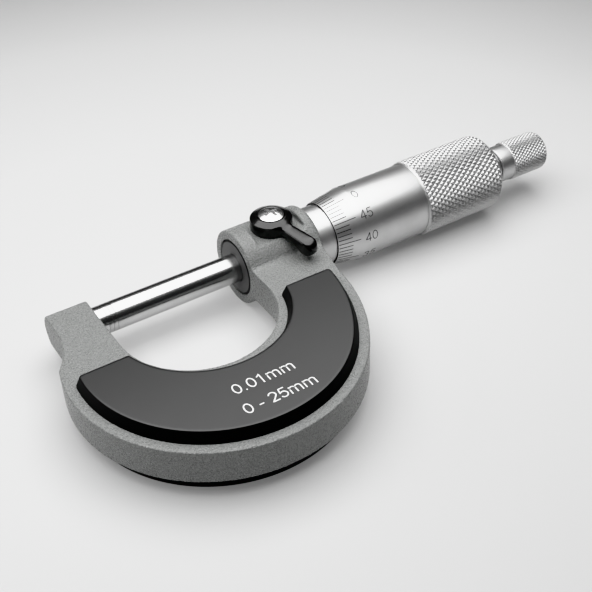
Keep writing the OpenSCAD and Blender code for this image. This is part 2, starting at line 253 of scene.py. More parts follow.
def bridge(bm, one, two):
    """Quads between two rings of the same length."""
    for i, j in neighbours(len(one)):
        bm.faces.new((one[i], one[j], two[j], two[i]))


def closed_bar(bm, rows):
    """Skin and two end caps round a row of rings."""
    for one, two in zip(rows, rows[1:]):
        bridge(bm, one, two)
    bm.faces.new(rows[0])
    bm.faces.new(rows[-1])


def stack_rings(name, rings):
    """Closed mesh from rings of equal length, each a list of 3D points."""
    bm = bmesh.new()
    closed_bar(bm, [[bm.verts.new(p) for p in ring] for ring in rings])
    return mesh_from(bm, name)


def rounded(points, radius, steps=3):
    """The polyline with each inner corner turned into a small curve."""
    most = 0.45
    out = [points[0]]
    for before, here, after in zip(points, points[1:], points[2:]):
        a, p, b = Vector(before), Vector(here), Vector(after)
        cut_a = min(radius, (a - p).length * most)
        cut_b = min(radius, (b - p).length * most)
        start = p + (a - p).normalized() * cut_a
        end = p + (b - p).normalized() * cut_b
        for i in range(steps + 1):
            t = i / steps
            out.append(tuple(start * (1 - t) ** 2 + p * 2 * t * (1 - t) + end * t ** 2))
    out.append(points[-1])
    return out


def lathe(name, profile, segments=192, marks=()):
    """Closed mesh turned about X from (x, r) points.

    A profile that starts and ends at r 0 closes on the axis. Any other one is a ring section and
    closes on itself. marks lists (x0, x1, r0, r1, material index) for faces that take another
    material."""
    bm = bmesh.new()
    rings = []
    for x, r in profile:
        count = 1 if r < TINY else segments
        angles = [FULL_TURN * i / segments for i in range(count)]
        rings.append([bm.verts.new(on_cylinder(x, r if count > 1 else 0, a)) for a in angles])
    pairs = list(zip(rings, rings[1:]))
    if len(rings[0]) > 1:
        pairs.append((rings[-1], rings[0]))
    for one, two in pairs:
        for i, j in neighbours(segments):
            if len(one) == 1:
                face = bm.faces.new((one[0], two[i], two[j]))
            elif len(two) == 1:
                face = bm.faces.new((one[i], two[0], one[j]))
            else:
                face = bm.faces.new((one[i], two[i], two[j], one[j]))
            c = face.calc_center_median()
            r = math.hypot(c.y, c.z)
            for x0, x1, r0, r1, index in marks:
                if x0 <= c.x <= x1 and r0 <= r <= r1:
                    face.material_index = index
    return mesh_from(bm, name)


def arc(centre, radius, start, end, count):
    """Points on a circle from one angle to another, both included."""
    step = (end - start) / (count - 1)
    return [
        centre + radius * Vector((math.cos(start + i * step), math.sin(start + i * step)))
        for i in range(count)
    ]


def angle_of(v):
    """A vector's angle in the XY plane."""
    return math.atan2(v.y, v.x)


def plate_outline(inset, outer_corner, inner_corner):
    """Edge of a cover plate in the XY plane, anticlockwise, set in from its full size."""
    bow_r = PLATE_R - inset
    flank_r = FLANK_R - inset
    throat_r = THROAT_R + inset
    left_y = PLATE_LEFT_Y - inset
    right_y = PLATE_RIGHT_Y - inset

    def corner(round_c, reach, y, radius, side):
        cy = y - radius
        return Vector((round_c.x + side * math.sqrt(reach ** 2 - (cy - round_c.y) ** 2), cy))

    c1 = corner(BOW_C, bow_r - outer_corner, left_y, outer_corner, -1)
    c2 = corner(THROAT_C, throat_r + inner_corner, left_y, inner_corner, -1)
    c3 = corner(THROAT_C, throat_r + inner_corner, right_y, inner_corner, 1)
    c4 = corner(FLANK_C, flank_r - outer_corner, right_y, outer_corner, 1)
    a1 = angle_of(c1 - BOW_C)
    a4 = angle_of(c4 - FLANK_C)
    up = math.pi / 2
    points = arc(BOW_C, bow_r, a1, FLANK_ANGLE + FULL_TURN, BOW_POINTS)
    points += arc(FLANK_C, flank_r, FLANK_ANGLE, a4, FLANK_POINTS)[1:]
    points += arc(c4, outer_corner, a4, up, OUTER_CORNER_POINTS)[1:]
    points += arc(c3, inner_corner, up, angle_of(THROAT_C - c3), INNER_CORNER_POINTS)
    a3 = angle_of(c3 - THROAT_C)
    a2 = angle_of(c2 - THROAT_C)
    points += arc(THROAT_C, throat_r, a3, a2, THROAT_POINTS)[1:-1]
    points += arc(c2, inner_corner, angle_of(THROAT_C - c2), up, INNER_CORNER_POINTS)
    points += arc(c1, outer_corner, up, a1, OUTER_CORNER_POINTS)[:-1]
    return points


def section_rings(section, outer_corner, inner_corner, side):
    """Rings of a plate for (inset, z) steps; side is 1 for the front and -1 for the back."""
    rings = []
    for inset, z in section:
        outer = max(outer_corner - inset, LEAST_CORNER)
        inner = max(inner_corner - inset, LEAST_CORNER)
        rings.append([(p.x, p.y, side * z) for p in plate_outline(inset, outer, inner)])
    return rings


def slice_at(bm, x, direction=1, trim=False):
    """Cuts a mesh by the plane at x, and with trim drops what lies beyond it in the direction."""
    everything = bm.verts[:] + bm.edges[:] + bm.faces[:]
    bmesh.ops.bisect_plane(
        bm, geom=everything, plane_co=(x, 0, 0), plane_no=(direction, 0, 0), clear_outer=trim,
        dist=TINY)


def knurl_wall(centre_x, half_l, radius, depth, around, axial, limit):
    """Bmesh tube wall with a diamond knurl: real pyramids between two crossed sets of V grooves.

    around is the number of grooves of each set round the part, axial their count per millimetre,
    and limit(x) the largest radius allowed at x. Gives the wall and the x of its two ends."""
    bm = bmesh.new()
    groove_r = radius - depth
    spacing = 1 / (2 * axial)
    reach = math.pi / around
    last = int(half_l / spacing) + 2
    nodes = {}
    for k in range(-last - 1, last + 2):
        for m in range(around):
            angle = math.pi * (2 * m + (k % 2)) / around
            nodes[k, m] = bm.verts.new(on_cylinder(centre_x + k * spacing, groove_r, angle))
    offsets = ((-spacing, 0), (0, reach), (spacing, 0), (0, -reach))
    for k in range(-last, last + 1):
        x = centre_x + k * spacing
        for m in range(around):
            # the diamond's centre lies on ring k, half-way between two of its nodes
            angle = math.pi * (2 * m + (k % 2) + 1) / around
            after = (m + 1) % around
            side = m if k % 2 == 0 else after
            loop = [nodes[k - 1, side], nodes[k, after], nodes[k + 1, side], nodes[k, m]]
            for share, rise in KNURL_LEVELS:
                r = groove_r + depth * rise
                ring = [bm.verts.new(on_cylinder(x + dx * share, r, angle + da * share))
                        for dx, da in offsets]
                bridge(bm, loop, ring)
                loop = ring
            top = bm.verts.new(on_cylinder(x, radius, angle))
            for i, j in neighbours(len(loop)):
                bm.faces.new((loop[i], loop[j], top))
    ends = (centre_x - half_l, centre_x + half_l)
    slice_at(bm, ends[0], -1, True)
    slice_at(bm, ends[1], 1, True)
    loose = [v for v in bm.verts if not v.link_faces]
    bmesh.ops.delete(bm, geom=loose, context="VERTS")
    for offset in KNURL_CUTS:
        slice_at(bm, ends[0] + offset)
        slice_at(bm, ends[1] - offset)
    bmesh.ops.remove_doubles(bm, verts=bm.verts, dist=MERGE)
    for v in bm.verts:
        r = math.hypot(v.co.y, v.co.z)
        scale = min(1.0, limit(v.co.x) / r)
        v.co.y *= scale
        v.co.z *= scale
    return bm, ends


def close_tube(bm, ends, inner_r):
    """Closes a wall into a tube, with an inner wall that has the same angles as the two edges."""
    loops = []
    for x in ends:
        edge = [v for v in bm.verts
                if abs(v.co.x - x) < MERGE and any(e.is_boundary for e in v.link_edges)]
        edge.sort(key=lambda v: math.atan2(v.co.z, v.co.y))
        angles = [math.atan2(v.co.z, v.co.y) for v in edge]
        inner = [bm.verts.new(on_cylinder(x, inner_r, a)) for a in angles]
        bridge(bm, edge, inner)
        loops.append(inner)
    one, two = loops
    if len(one) != len(two):
        raise ValueError("the two ends of the knurl differ")
    bridge(bm, one, two)


def temporary(name, mesh):
    """A linked object for a modifier to work on, until applied() removes it."""
    holder = bpy.data.objects.new(name, mesh)
    bpy.context.scene.collection.objects.link(holder)
    return holder


def applied(holder, *helpers):
    """The mesh of a temporary object after its modifiers. Removes it and its helpers."""
    bpy.context.view_layer.update()
    graph = bpy.context.evaluated_depsgraph_get()
    result = bpy.data.meshes.new_from_object(holder.evaluated_get(graph))
    for one in (*helpers, holder):
        bpy.data.objects.remove(one)
    return result


def voxel_mesh(meshes, voxel, smooth, name):
    """One closed skin round several closed meshes, with its edges softened."""
    holder = temporary(name, join_meshes(meshes, name))
    remesh = holder.modifiers.new("skin", "REMESH")
    remesh.mode = "VOXEL"
    remesh.voxel_size = voxel
    soften = holder.modifiers.new("soften", "SMOOTH")
    soften.factor = 0.5
    soften.iterations = smooth
    return applied(holder)


def smooth_part(mesh, share_of, steps):
    """Softens one part of a mesh; share_of gives each point's share, from 0 to 1."""
    pace = 0.5
    ends = np.empty(len(mesh.edges) * 2, np.int64)
    mesh.edges.foreach_get("vertices", ends)
    first, second = ends[0::2], ends[1::2]
    count = len(mesh.vertices)
    links = np.bincount(ends, minlength=count)[:, None]
    place = np.empty(count * 3, np.float32)
    mesh.vertices.foreach_get("co", place)
    place = place.reshape(-1, 3).astype(float)
    share = np.array([share_of(p) for p in place])[:, None] * pace
    for _ in range(steps):
        total = np.zeros_like(place)
        for axis in range(3):
            total[:, axis] = np.bincount(first, place[second, axis], count)
            total[:, axis] += np.bincount(second, place[first, axis], count)
        place += (total / links - place) * share
    mesh.vertices.foreach_set("co", place.astype(np.float32).reshape(-1))
    mesh.update()


def cad_mesh_mm(node):
    """A copy of a CAD node's mesh, in millimetres, with its doubled vertices merged."""
    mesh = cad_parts[node].data.copy()
    mesh.transform(Matrix.Scale(1 / MM, 4))
    bm = bmesh.new()
    bm.from_mesh(mesh)
    bmesh.ops.remove_doubles(bm, verts=bm.verts, dist=MERGE)
    bm.to_mesh(mesh)
    bm.free()
    return mesh


# ---------------------------------------------------------------- materials
def material(name, colour, roughness, metallic=0.0, specular=0.5):
    """A Principled material, and its shader for nodes to be linked to."""
    made = bpy.data.materials.new(name)
    made.use_nodes = True
    shader = made.node_tree.nodes["Principled BSDF"]
    shader.inputs["Base Color"].default_value = (*colour, 1)
    shader.inputs["Roughness"].default_value = roughness
    shader.inputs["Metallic"].default_value = metallic
    shader.inputs["Specular IOR Level"].default_value = specular
    return made, shader


def link(made, a, b):
    """Joins two sockets of a material."""
    made.node_tree.links.new(a, b)


def coordinates(made, scale=(1, 1, 1)):
    """Object coordinates in metres, scaled."""
    nodes = made.node_tree.nodes
    place = nodes.new("ShaderNodeTexCoord")
    mapping = nodes.new("ShaderNodeMapping")
    mapping.inputs["Scale"].default_value = scale
    link(made, place.outputs["Object"], mapping.inputs["Vector"])
    return mapping.outputs["Vector"]


def noise_at(made, vector, scale, detail=2.0, rough=0.5):
    """Noise from 0 to 1, with scale in cycles per metre."""
    node = made.node_tree.nodes.new("ShaderNodeTexNoise")
    node.inputs["Scale"].default_value = scale
    node.inputs["Detail"].default_value = detail
    node.inputs["Roughness"].default_value = rough
    link(made, vector, node.inputs["Vector"])
    return node.outputs["Fac"]


def ramp(made, value, low, high, start=0.3, end=0.7):
    """Maps a 0 to 1 value onto colours from low to high."""
    node = made.node_tree.nodes.new("ShaderNodeValToRGB")
    node.color_ramp.elements[0].position = start
    node.color_ramp.elements[0].color = (*low, 1)
    node.color_ramp.elements[1].position = end
    node.color_ramp.elements[1].color = (*high, 1)
    link(made, value, node.inputs["Fac"])
    return node.outputs["Color"]


def to_range(made, value, low, high):
    """Maps a 0 to 1 value onto low to high."""
    node = made.node_tree.nodes.new("ShaderNodeMapRange")
    node.inputs["To Min"].default_value = low
    node.inputs["To Max"].default_value = high
    link(made, value, node.inputs["Value"])
    return node.outputs["Result"]


def bump(made, shader, height, distance, before=None):
    """Bump from a 0 to 1 height, distance metres deep, on top of an earlier bump if given."""
    node = made.node_tree.nodes.new("ShaderNodeBump")
    node.inputs["Strength"].default_value = 1.0
    node.inputs["Distance"].default_value = distance
    link(made, height, node.inputs["Height"])
    if before is not None:
        link(made, before, node.inputs["Normal"])
    link(made, node.outputs["Normal"], shader.inputs["Normal"])
    return node.outputs["Normal"]


def grey(value):
    """A neutral colour."""
    return (value, value, value)


def cast_paint():
    """Grey hammered enamel over a sand casting: soft lumps, fine grain, speckled tone."""
    made, shader = material("cast_paint", grey(0.21), 0.35, specular=0.7)
    darkest = (0.191, 0.195, 0.192)
    lightest = (0.241, 0.246, 0.242)
    place = coordinates(made)
    grain = noise_at(made, place, 2600, 3.0, 0.6)
    lumps = noise_at(made, place, 3000, 2.0, 0.55)
    tone = ramp(made, grain, darkest, lightest, 0.36, 0.64)
    link(made, tone, shader.inputs["Base Color"])
    link(made, to_range(made, lumps, 0.20, 0.36), shader.inputs["Roughness"])
    first = bump(made, shader, lumps, 0.00024)
    bump(made, shader, grain, 0.00009, first)
    return made


def plate_plastic():
    """Charcoal moulded plate, satin, with a fine even grain."""
    made, shader = material("plate_plastic", grey(0.005), 0.37, specular=0.8)
    place = coordinates(made)
    grain = noise_at(made, place, 5200, 2.0, 0.5)
    wide = noise_at(made, place, 60, 2.0, 0.5)
    link(made, ramp(made, grain, grey(0.004), grey(0.007)), shader.inputs["Base Color"])
    link(made, to_range(made, wide, 0.34, 0.42), shader.inputs["Roughness"])
    bump(made, shader, grain, 0.000004)
    return made


def plate_edge():
    """Edge of a cover plate: painted shade, blacker, less shiny and a little rougher than its face.
    """
    made, shader = material("plate_edge", grey(0.003), 0.5, specular=0.2)
    place = coordinates(made)
    grain = noise_at(made, place, 4200, 2.0, 0.5)
    link(made, ramp(made, grain, grey(0.002), grey(0.004)), shader.inputs["Base Color"])
    link(made, to_range(made, grain, 0.44, 0.56), shader.inputs["Roughness"])
    bump(made, shader, grain, 0.000006)
    return made


def turned_metal(name, colour, low, high, depth, fine, metallic=1.0):
    """Metal turned about X: fine rings across the axis, with a slightly uneven polish. low and high
    are its roughness, and depth and fine the rings' depth in metres and their noise scale."""
    worn = tuple(c * 0.93 for c in colour)
    made, shader = material(name, colour, (low + high) / 2, metallic)
    rings = coordinates(made, (1, 0.02, 0.02))
    cut = noise_at(made, rings, fine, 3.0, 0.7)
    place = coordinates(made)
    wear = noise_at(made, place, 260, 3.0, 0.55)
    link(made, ramp(made, wear, worn, colour), shader.inputs["Base Color"])
    link(made, to_range(made, cut, low, high), shader.inputs["Roughness"])
    bump(made, shader, cut, depth)
    return made


def bright_screw():
    """Bright nickel, with faint polishing marks."""
    made, shader = material("bright_screw", grey(0.82), 0.22, metallic=1.0)
    place = coordinates(made)
    haze = noise_at(made, place, 1800, 3.0, 0.6)
    link(made, ramp(made, haze, grey(0.76), grey(0.84)), shader.inputs["Base Color"])
    link(made, to_range(made, haze, 0.16, 0.30), shader.inputs["Roughness"])
    bump(made, shader, haze, 0.000002)
    return made


def lever_enamel():
    """Gloss black enamel with a slight ripple."""
    made, shader = material("lever_enamel", grey(0.005), 0.18, specular=0.75)
    place = coordinates(made)
    ripple = noise_at(made, place, 900, 2.0, 0.5)
    link(made, to_range(made, ripple, 0.15, 0.22), shader.inputs["Roughness"])
    link(made, ramp(made, ripple, grey(0.005), grey(0.008)), shader.inputs["Base Color"])
    bump(made, shader, ripple, 0.000008)
    return made


def ink(name, value):
    """Filled paint of a scale or a printed line, lightly speckled."""
    made, shader = material(name, grey(value), 0.5, specular=0.4)
    place = coordinates(made)
    speck = noise_at(made, place, 6000)
    tone = ramp(made, speck, grey(value * 0.85), grey(min(value * 1.15, 0.95)))
    link(made, tone, shader.inputs["Base Color"])
    return made


def set_stops(elements, stops):
    """Sets a new colour ramp to greys at (position, value) steps."""
    for element, (position, value) in zip(elements, (stops[0], stops[-1])):
        element.position, element.color = position, (*grey(value), 1)
    for position, value in stops[1:-1]:
        elements.new(position).color = (*grey(value), 1)


def floor_rings(made, fade, stops):
    """Greys at (nearness, value) steps, where nearness is 1 in the throat and 0 far out."""
    node = made.node_tree.nodes.new("ShaderNodeValToRGB")
    set_stops(node.color_ramp.elements, stops)
    link(made, fade, node.inputs["Fac"])
    return node.outputs["Color"]


def floor_paper():
    """Pale studio paper, painted darker far out, with a painted glow mostly inside the throat."""
    made, shader = material("floor_paper", grey(0.50), 0.6, specular=0.2)
    # paper's grey: a painted falloff of light far out, and a little less inside the throat, where
    # the painted glow adds light
    paper_painted_falloff_stops = ((0.08, 0.30), (0.62, 0.495), (0.86, 0.495), (0.95, 0.405))
    painted_glow_stops = ((0.20, 0.0), (0.64, 0.11), (0.86, 0.11), (0.95, 0.27))
    place = coordinates(made)
    spread = made.node_tree.nodes.new("ShaderNodeMapping")
    spread.inputs["Scale"].default_value = (2.5, 2.5, 2.5)
    spread.inputs["Location"].default_value = (0.040, 0.015, 0)
    link(made, place, spread.inputs["Vector"])
    fade = made.node_tree.nodes.new("ShaderNodeTexGradient")
    fade.gradient_type = "SPHERICAL"
    link(made, spread.outputs["Vector"], fade.inputs["Vector"])
    near = fade.outputs["Fac"]
    paper = floor_rings(made, near, paper_painted_falloff_stops)
    link(made, paper, shader.inputs["Base Color"])
    painted_glow = floor_rings(made, near, painted_glow_stops)
    # the floor glows though it is no lamp: painted light, strongest in the throat, that lifts the
    # shadows there
    link(made, painted_glow, shader.inputs["Emission Color"])
    shader.inputs["Emission Strength"].default_value = 1.0
    mottling = noise_at(made, place, 12, 2.0, 0.5)
    link(made, to_range(made, mottling, 0.56, 0.64), shader.inputs["Roughness"])
    return made


paint = cast_paint()
plastic = plate_plastic()
plastic_edge_painted_shade = plate_edge()
# turned_metal: name, colour, roughness from and to, depth of the rings, their scale, metallic
steel = turned_metal("ground_steel", grey(0.58), 0.16, 0.25, 0.0000004, 14000.0)
chrome = turned_metal("satin_chrome", grey(0.62), 0.34, 0.48, 0.000001, 9000.0)
knurled = turned_metal("knurl_chrome", grey(0.55), 0.40, 0.52, 0.0000006, 4000.0)
# painted shade: black edges and reliefs put in the gaps between turned pieces, where shadow falls
shade = turned_metal("painted_shade_edge", grey(0.03), 0.45, 0.6, 0.000001, 5000.0, 0.6)
dark = turned_metal("dark_steel", grey(0.20), 0.28, 0.4, 0.000001, 6000.0)
# face of the spindle's guide, dull grey from its phosphate finish
dull = turned_metal("dull_face", grey(0.13), 0.5, 0.65, 0.000002, 5000.0, 0.3)
tip = turned_metal("carbide", grey(0.54), 0.16, 0.26, 0.0000006, 9000.0)
yellow = turned_metal("brass", (0.72, 0.53, 0.27), 0.25, 0.4, 0.000001, 6000.0)
spring = turned_metal("spring_steel", grey(0.42), 0.25, 0.35, 0.0000008, 8000.0)
bright = bright_screw()
enamel = lever_enamel()
scale_ink = ink("scale_ink", 0.035)
print_ink = ink("print_ink", 0.80)


# ---------------------------------------------------------------- frame and plates
def frame_casting():
    """The CAD frame with its pockets filled, its edges rounded, and a sand-cast skin."""
    pocket = ((-POCKET_MARGIN, HALF_T - POCKET_FILL), (-POCKET_MARGIN, HALF_T))
    parts = [cad_mesh_mm("frame")]
    for side in (1, -1):
        parts.append(stack_rings("infill", section_rings(pocket, 0.0, 0.0, side)))
    mesh = voxel_mesh(parts, CAST_VOXEL, CAST_PASSES, "frame_casting")
    count = len(mesh.vertices)
    place = np.empty(count * 3, np.float32)
    normal = np.empty(count * 3, np.float32)
    mesh.vertices.foreach_get("co", place)
    mesh.vertex_normals.foreach_get("vector", normal)
    place = place.reshape(-1, 3)
    normal = normal.reshape(-1, 3)
    push = np.empty(count, np.float32)
    for i, p in enumerate(place):
        v = Vector(p)
        push[i] = sum(high * noise.noise(v * scale) for high, scale in CAST_WAVES) - CAST_INSET
    # the bore stays as the CAD has it
    bore_r = INNER_HIGH.z + 0.5
    bore_from_x = 20
    radius = np.hypot(place[:, 1], place[:, 2])
    push[(radius < bore_r) & (place[:, 0] > bore_from_x)] = 0
    place += normal * push[:, None]
    mesh.vertices.foreach_set("co", place.reshape(-1))
    add_piece("frame_casting", mesh, "frame", [paint], ["frame"], sharp=180)


def cover_plate(name, node, side, top, bevel):
    """A moulded cover plate with rounded corners, a sloping edge and a small round at its rim."""
    section = [(inset, HALF_T + up) for inset, up in PLATE_FOOT]
    section += [(max(bevel + past, PLATE_FOOT[-1][0]), top - down) for past, down in PLATE_RIM]
    mesh = stack_rings(name, section_rings(section, OUTER_CORNER, INNER_CORNER, side))
    # faces that slope away from the top take the plastic's painted-shade copy
    for face in mesh.polygons:
        if abs(face.normal.z) < PLATE_EDGE_NORMAL_Z:
            face.material_index = 1
    add_piece(name, mesh, "frame", [plastic, plastic_edge_painted_shade], [node], sharp=40)


def bend(cx, cy, rx, ry, start, end, count=14):
    """Points on an ellipse between two angles in degrees, for a curved stroke."""
    step = math.radians(end - start) / count
    first = math.radians(start)
    angles = [first + i * step for i in range(count + 1)]
    return [(cx + rx * math.cos(a), cy + ry * math.sin(a)) for a in angles]


# Strokes of a plain sans lettering, for a cap height of 1, and the room each character takes
STROKES = {
    "0": ([bend(0.39, 0.5, 0.28, 0.45, 0, 360, 28)], 0.776),
    "1": ([[(0.44, 0.0), (0.44, 0.97), (0.38, 0.88), (0.17, 0.74)]], 0.776),
    "2": ([bend(0.39, 0.69, 0.27, 0.26, 165, -30)
           + [(0.40, 0.30), (0.13, 0.05), (0.69, 0.05)]], 0.776),
    "3": ([bend(0.38, 0.71, 0.24, 0.24, 160, -90) + bend(0.38, 0.26, 0.28, 0.22, 90, -160)], 0.776),
    "4": ([[(0.53, 0.0), (0.53, 0.97), (0.08, 0.27), (0.72, 0.27)]], 0.776),
    "5": ([[(0.65, 0.95), (0.23, 0.95), (0.15, 0.48)]
           + bend(0.38, 0.33, 0.28, 0.28, 130, -155)], 0.776),
    "m": ([[(0.14, 0.0), (0.14, 0.72)], bend(0.36, 0.48, 0.22, 0.20, 180, 0) + [(0.58, 0.0)],
           bend(0.80, 0.48, 0.22, 0.20, 180, 0) + [(1.02, 0.0)]], 1.163),
    ".": ([[(0.19, 0.0), (0.19, 0.11)]], 0.388),
    "-": ([[(0.05, 0.36), (0.41, 0.36)]], 0.465),
    " ": ([], 0.388),
}


def ribbon(bm, points, width, place):
    """A closed flat strip along a polyline. place(x, y, up) gives each 3D point."""
    longest = 0.3
    line = [Vector(p) for p in points]
    fine = [line[0]]
    for a, b in zip(line, line[1:]):
        parts = max(1, math.ceil((b - a).length / longest))
        fine += [a + (b - a) * (k / parts) for k in range(1, parts + 1)]
    last = len(fine) - 1
    loops_back = (fine[0] - fine[-1]).length < TINY
    rows = []
    for k, here in enumerate(fine):
        before, after = fine[max(k - 1, 0)], fine[min(k + 1, last)]
        if loops_back and k in (0, last):
            before, after = fine[-2], fine[1]
        along = (after - before).normalized()
        side = Vector((-along.y, along.x)) * width / 2
        left, right = here + side, here - side
        corners = ((left, INK_UP), (right, INK_UP), (right, -INK_DOWN), (left, -INK_DOWN))
        rows.append([bm.verts.new(place(q.x, q.y, up)) for q, up in corners])
    closed_bar(bm, rows)


def lettering(text, height, width, place, centred=True):
    """Mesh of a line of stroked characters. place(x, y, up) gets millimetres from its middle."""
    total = sum(STROKES[c][1] for c in text)
    bm = bmesh.new()
    pen = -total / 2 if centred else 0.0
    for c in text:
        strokes, advance = STROKES[c]
        for stroke in strokes:
            points = [((pen + x) * height, (y - 0.5) * height) for x, y in stroke]
            ribbon(bm, points, width, place)
        pen += advance
    return mesh_from(bm, "lettering")


def plate_print():
    """The two generic printed lines on the front plate: resolution and range."""
    meshes = []
    for text, x0, middle_y in PRINT_LINES:

        def place(x, y, up, x0=x0, middle_y=middle_y):
            return Vector((x0 + x, middle_y + y, PLATE_HIGH.z + up))

        meshes.append(lettering(text, PRINT_H, PRINT_W, place, False))
    mesh = join_meshes(meshes, "plate_print")
    add_piece("plate_print", mesh, "frame", [print_ink])


# ---------------------------------------------------------------- anvil, spindle and sleeve
def anvil_pieces():
    """The anvil's pin and its carbide face, a hair apart."""
    tip_x = box_mm("anvil_tip")[0].x
    pin = [(ANVIL_LOW.x, 0), (ANVIL_LOW.x, SPINDLE_R), (tip_x, SPINDLE_R), (tip_x, 0)]
    mesh = lathe("anvil_pin", rounded(pin, GROUND_EDGE))
    add_piece("anvil_pin", mesh, "frame", [steel], ["anvil"])
    back_x = tip_x + FACE_GAP
    face = [(back_x, 0), (back_x, SPINDLE_R), (0, SPINDLE_R), (0, 0)]
    mesh = lathe("anvil_carbide", rounded(face, CARBIDE_EDGE))
    add_piece("anvil_carbide", mesh, "frame", [tip], ["anvil_tip"])


def spindle_pieces():
    """The spindle's carbide face, and its rod with the thread and the taper seat."""
    tip_low, tip_high = box_mm("spindle_tip")
    back_x = tip_high.x - FACE_GAP
    face = [(tip_low.x, 0), (tip_low.x, SPINDLE_R), (back_x, SPINDLE_R), (back_x, 0)]
    mesh = lathe("spindle_carbide", rounded(face, CARBIDE_EDGE))
    add_piece("spindle_carbide", mesh, "thimble", [tip], ["spindle_tip"])
    core = THREAD_R - THREAD_DEPTH
    profile = rounded([
        (SPINDLE_LOW.x, 0), (SPINDLE_LOW.x, SPINDLE_R), (THREAD_X0, SPINDLE_R),
        (THREAD_X0, core)], GROUND_EDGE)
    x = THREAD_X0 + PITCH / 4
    while x < SPINDLE_HIGH.x - SEAT_L:
        for share, crest in THREAD_FORM:
            profile.append((x + PITCH * share, THREAD_R if crest else core))
        x += PITCH
    profile += [
        (x, core), (x + 0.4, SEAT_R0), (SPINDLE_HIGH.x, SEAT_R1), (SPINDLE_HIGH.x, SEAT_BORE_R),
        (x + 0.8, SEAT_BORE_R), (x + 0.8, 0)]
    mesh = lathe("spindle_rod", profile, segments=128)
    add_piece("spindle_rod", mesh, "thimble", [steel], ["spindle"])


def drilled(mesh, x, radius, z0, z1):
    """The mesh with a round hole drilled along Z through one of its walls."""
    bm = bmesh.new()
    place = Matrix.Translation((x, 0, (z0 + z1) / 2))
    bmesh.ops.create_cone(
        bm, cap_ends=True, segments=HOLE_SEGMENTS, radius1=radius, radius2=radius, depth=z1 - z0,
        matrix=place)
    drill = temporary("drill", mesh_from(bm, "drill"))
    block = temporary("block", mesh)
    cut = block.modifiers.new("cut", "BOOLEAN")
    cut.operation = "DIFFERENCE"
    cut.solver = "EXACT"
    cut.object = drill
    return applied(block, drill)


def guide_sleeve():
    """The spindle's guide: a dull face in the boss's mouth, a rim in painted shade, and the long
    neck.
    """
    bore = SPINDLE_R + RUNNING_GAP
    thread = THREAD_R + 0.05
    face_x = INNER_LOW.x
    neck_x = FRAME_HIGH.x - 0.5
    rim_r = INNER_HIGH.z - 0.46
    profile = rounded([
        (face_x, bore), (face_x, rim_r), (face_x + 0.3, INNER_HIGH.z), (neck_x, INNER_HIGH.z),
        (neck_x, NECK_R), (INNER_HIGH.x, NECK_R), (INNER_HIGH.x, thread), (FRAME_HIGH.x, thread),
        (FRAME_HIGH.x, bore)], 0.04)
    front_x = face_x - 0.1
    mark_r = rim_r - 0.03
    # the rim takes the painted shade (index 1), the face its dull grey (index 2)
    marks = [(front_x, face_x + 0.25, mark_r, INNER_HIGH.z + 0.1, 1),
             (front_x, face_x + 0.02, bore, mark_r, 2)]
    hole_r = (STUD_HIGH.x - STUD_LOW.x) / 2 + HOLE_GAP
    mesh = lathe("guide_sleeve", profile, segments=160, marks=marks)
    mesh = drilled(mesh, LOCK_X, hole_r, HOLE_LOW, HOLE_HIGH)
    add_piece("spindle_guide", mesh, "frame", [dark, shade, dull], ["inner_sleeve"])


def scale_strip(x0, x1, angle, width, radius_at, columns=6):
    """A thin closed strip of ink along X, which follows the surface."""
    rings = []
    for i in range(columns + 1):
        x = x0 + (x1 - x0) * i / columns
        r = radius_at(x)
        rings.append([on_cylinder(x, r + up, angle + side * width / r) for side, up in INK_SECTION])
    return stack_rings("strip", rings)


def ring_mark(x, start, end, width, radius, columns=5):
    """A thin closed strip of ink round a cylinder at x, from one angle to another."""
    rings = []
    for i in range(columns + 1):
        a = start + (end - start) * i / columns
        rings.append([on_cylinder(x + side * width, radius + up, a) for side, up in INK_SECTION])
    return stack_rings("mark", rings)


def number_on(text, x_centre, angle, height, radius):
    """A number on a cylinder, which reads towards +X."""

    def place(x, y, up):
        return on_cylinder(x_centre + x, radius + up, angle - y / radius)

    return lettering(text, height, height * NUMBER_WEIGHT, place)


def sleeve_pieces():
    """The graduated sleeve with its datum line, 1 mm and half-millimetre marks and numbers."""
    inner = NECK_R + RUNNING_GAP
    profile = rounded([
        (SLEEVE_LOW.x, inner), (SLEEVE_LOW.x, SLEEVE_R), (SLEEVE_HIGH.x, SLEEVE_R),
        (SLEEVE_HIGH.x, inner)], 0.08)
    mesh = lathe("scale_sleeve", profile)
    add_piece("scale_sleeve", mesh, "sleeve", [chrome], ["outer_sleeve"])

    datum = (THIMBLE_X0 - 0.3, THIMBLE_X0 + TRAVEL + 1)
    strips = [scale_strip(*datum, DATUM_ANGLE, SLEEVE_LINE_W, lambda x: SLEEVE_R, 2)]
    for half in range(2 * TRAVEL + 1):
        whole = half % 2 == 0
        length = MARK_FIVE if half % 10 == 0 else MARK_WHOLE if whole else MARK_HALF
        side = -1 if whole else 1
        end = DATUM_ANGLE + side * length / SLEEVE_R
        strips.append(ring_mark(THIMBLE_X0 + half / 2, DATUM_ANGLE, end, SLEEVE_LINE_W, SLEEVE_R))
    number_angle = DATUM_ANGLE - SLEEVE_NUMBER_AWAY / SLEEVE_R
    for value in range(0, TRAVEL + 1, 5):
        x = THIMBLE_X0 + value
        strips.append(number_on(str(value), x, number_angle, SLEEVE_NUMBER_H, SLEEVE_R))
    mesh = join_meshes(strips, "sleeve_scale")
    add_piece("sleeve_scale", mesh, "sleeve", [scale_ink])


